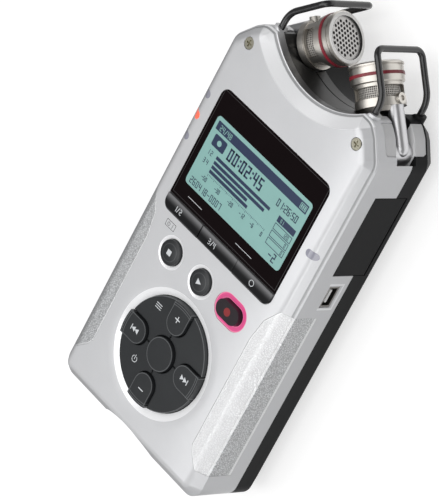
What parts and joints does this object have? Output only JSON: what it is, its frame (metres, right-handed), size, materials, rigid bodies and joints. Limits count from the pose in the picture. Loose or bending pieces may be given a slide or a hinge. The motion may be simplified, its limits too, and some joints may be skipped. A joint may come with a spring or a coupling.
{
  "type": "handheld digital recorder",
  "caption": "Handheld digital audio recorder: silver front with display, key wheel and transport keys, black back, swinging cardioid microphones under wire guards at the top end.",
  "frame": {"origin": "middle of the bounding box in X and Y, on the resting plane of the back feet", "axes": "+Z out of the front face, +Y along the recorder towards the microphones, +X towards the side with the card door"},
  "size_m": [0.0709, 0.155, 0.0358],
  "materials": {
    "front_paint": "satin silver paint",
    "grip": "silver leather-grain grip skin",
    "window_plastic": "polished dark window",
    "display": "pale blue backlit display",
    "light_ring": "lit pink ring",
    "lenses": "tinted indicator lenses",
    "screws": "dark plated steel",
    "rear_plastic": "satin black moulding",
    "cell_wrap": "plain shrink wrap",
    "contacts": "sheet contacts",
    "board": "green circuit board",
    "speaker": "paper cone in a frame",
    "thread_insert": "turned insert",
    "pins": "ground pin",
    "connector_steel": "bright sheet steel",
    "side_keys": "satin black keys",
    "record_key": "black key with a red mark",
    "arm_metal": "satin arm",
    "mic_metal": "satin nickel finish",
    "mesh": "perforated steel",
    "band": "dark red ring",
    "guard": "black coated wire",
    "keys": "black keys"
  },
  "bodies": {
    "case": {"front_shell": "front_paint", "right_grip": "grip", "left_grip": "grip", "display_window": "window_plastic", "lcd_module": "display", "record_light_ring": "light_ring", "indicator_lenses": "lenses", "front_screws": "screws", "rear_screws": "screws", "rear_shell": "rear_plastic", "battery_cells": "cell_wrap", "battery_contacts": "contacts", "main_board": "board", "key_board": "board", "speaker": "speaker", "tripod_insert": "thread_insert", "mic_bracket": "rear_plastic", "pivot_pins": "pins", "card_slot": "connector_steel", "usb_socket": "connector_steel", "headphone_socket": "rear_plastic", "right_combo_socket": "rear_plastic", "left_combo_socket": "rear_plastic", "right_mic_guard": "guard", "left_mic_guard": "guard"},
    "right_microphone": {"right_mic_arm": "arm_metal", "right_mic_cage": "mic_metal", "right_mic_mesh": "mesh", "right_mic_cap": "mic_metal", "right_mic_band": "band", "right_mic_grille": "mesh"},
    "left_microphone": {"left_mic_arm": "arm_metal", "left_mic_cage": "mic_metal", "left_mic_mesh": "mesh", "left_mic_cap": "mic_metal", "left_mic_band": "band", "left_mic_grille": "mesh"},
    "left_soft_key": {"left_soft_key": "keys"},
    "middle_soft_key": {"middle_soft_key": "keys"},
    "right_soft_key": {"right_soft_key": "keys"},
    "skip_forward_key": {"skip_forward_key": "keys"},
    "plus_key": {"plus_key": "keys"},
    "skip_back_key": {"skip_back_key": "keys"},
    "minus_key": {"minus_key": "keys"},
    "enter_key": {"enter_key": "keys"},
    "upper_right_key": {"upper_right_key": "keys"},
    "upper_left_key": {"upper_left_key": "keys"},
    "lower_left_key": {"lower_left_key": "keys"},
    "lower_right_key": {"lower_right_key": "keys"},
    "stop_button": {"stop_button": "keys"},
    "play_button": {"play_button": "keys"},
    "record_button": {"record_button": "record_key"},
    "battery_cover": {"battery_cover": "rear_plastic"},
    "card_door": {"card_door": "rear_plastic"},
    "volume_rocker": {"volume_rocker": "side_keys"},
    "level_rocker": {"level_rocker": "side_keys"},
    "hold_slider": {"hold_slider": "side_keys"},
    "right_release_tab": {"right_release_tab": "side_keys"},
    "left_release_tab": {"left_release_tab": "side_keys"}
  },
  "joints": [
    {"name": "right_mic_swing", "type": "hinge", "parent": "case", "child": "right_microphone", "pos_m": [0.028, 0.05, 0.0176], "axis": [0, 0, -1], "range_deg": [0, 70]},
    {"name": "left_mic_swing", "type": "hinge", "parent": "case", "child": "left_microphone", "pos_m": [-0.028, 0.05, 0.0176], "axis": [0, 0, 1], "range_deg": [0, 70]},
    {"name": "left_soft_press", "type": "slide", "parent": "case", "child": "left_soft_key", "axis": [0, 0, -1], "range_m": [0, 0.0004], "stiffness_N_per_m": 1500, "springref_m": -0.0002},
    {"name": "middle_soft_press", "type": "slide", "parent": "case", "child": "middle_soft_key", "axis": [0, 0, -1], "range_m": [0, 0.0004], "stiffness_N_per_m": 1500, "springref_m": -0.0002},
    {"name": "right_soft_press", "type": "slide", "parent": "case", "child": "right_soft_key", "axis": [0, 0, -1], "range_m": [0, 0.0004], "stiffness_N_per_m": 1500, "springref_m": -0.0002},
    {"name": "skip_forward_press", "type": "slide", "parent": "case", "child": "skip_forward_key", "axis": [0, 0, -1], "range_m": [0, 0.0004], "stiffness_N_per_m": 1500, "springref_m": -0.0002},
    {"name": "plus_press", "type": "slide", "parent": "case", "child": "plus_key", "axis": [0, 0, -1], "range_m": [0, 0.0004], "stiffness_N_per_m": 1500, "springref_m": -0.0002},
    {"name": "skip_back_press", "type": "slide", "parent": "case", "child": "skip_back_key", "axis": [0, 0, -1], "range_m": [0, 0.0004], "stiffness_N_per_m": 1500, "springref_m": -0.0002},
    {"name": "minus_press", "type": "slide", "parent": "case", "child": "minus_key", "axis": [0, 0, -1], "range_m": [0, 0.0004], "stiffness_N_per_m": 1500, "springref_m": -0.0002},
    {"name": "enter_press", "type": "slide", "parent": "case", "child": "enter_key", "axis": [0, 0, -1], "range_m": [0, 0.0004], "stiffness_N_per_m": 1500, "springref_m": -0.0002},
    {"name": "upper_right_press", "type": "slide", "parent": "case", "child": "upper_right_key", "axis": [0, 0, -1], "range_m": [0, 0.0004], "stiffness_N_per_m": 1500, "springref_m": -0.0002},
    {"name": "upper_left_press", "type": "slide", "parent": "case", "child": "upper_left_key", "axis": [0, 0, -1], "range_m": [0, 0.0004], "stiffness_N_per_m": 1500, "springref_m": -0.0002},
    {"name": "lower_left_press", "type": "slide", "parent": "case", "child": "lower_left_key", "axis": [0, 0, -1], "range_m": [0, 0.0004], "stiffness_N_per_m": 1500, "springref_m": -0.0002},
    {"name": "lower_right_press", "type": "slide", "parent": "case", "child": "lower_right_key", "axis": [0, 0, -1], "range_m": [0, 0.0004], "stiffness_N_per_m": 1500, "springref_m": -0.0002},
    {"name": "stop_press", "type": "slide", "parent": "case", "child": "stop_button", "axis": [0, 0, -1], "range_m": [0, 0.0004], "stiffness_N_per_m": 1500, "springref_m": -0.0002},
    {"name": "play_press", "type": "slide", "parent": "case", "child": "play_button", "axis": [0, 0, -1], "range_m": [0, 0.0004], "stiffness_N_per_m": 1500, "springref_m": -0.0002},
    {"name": "record_press", "type": "slide", "parent": "case", "child": "record_button", "axis": [0, 0, -1], "range_m": [0, 0.0004], "stiffness_N_per_m": 1500, "springref_m": -0.0002},
    {"name": "volume_rock", "type": "hinge", "parent": "case", "child": "volume_rocker", "pos_m": [-0.033, 0.0137, 0.0203], "axis": [0, 0, 1], "range_deg": [-3, 3], "stiffness_Nm_per_rad": 0.08},
    {"name": "level_rock", "type": "hinge", "parent": "case", "child": "level_rocker", "pos_m": [-0.033, 0.0007, 0.0203], "axis": [0, 0, 1], "range_deg": [-3, 3], "stiffness_Nm_per_rad": 0.08},
    {"name": "hold_slide", "type": "slide", "parent": "case", "child": "hold_slider", "axis": [0, 1, 0], "range_m": [0, 0.0024]},
    {"name": "right_release_press", "type": "slide", "parent": "case", "child": "right_release_tab", "axis": [0, 1, 0], "range_m": [0, 0.001], "stiffness_N_per_m": 600, "springref_m": -0.0005},
    {"name": "left_release_press", "type": "slide", "parent": "case", "child": "left_release_tab", "axis": [0, 1, 0], "range_m": [0, 0.001], "stiffness_N_per_m": 600, "springref_m": -0.0005},
    {"name": "battery_cover_slide", "type": "slide", "parent": "case", "child": "battery_cover", "axis": [0, -1, 0], "range_m": [0, 0.004]},
    {"name": "card_door_open", "type": "hinge", "parent": "case", "child": "card_door", "pos_m": [0.0342, 0.0238, 0.0104], "axis": [0, 1, 0], "range_deg": [0, 95]}
  ]
}
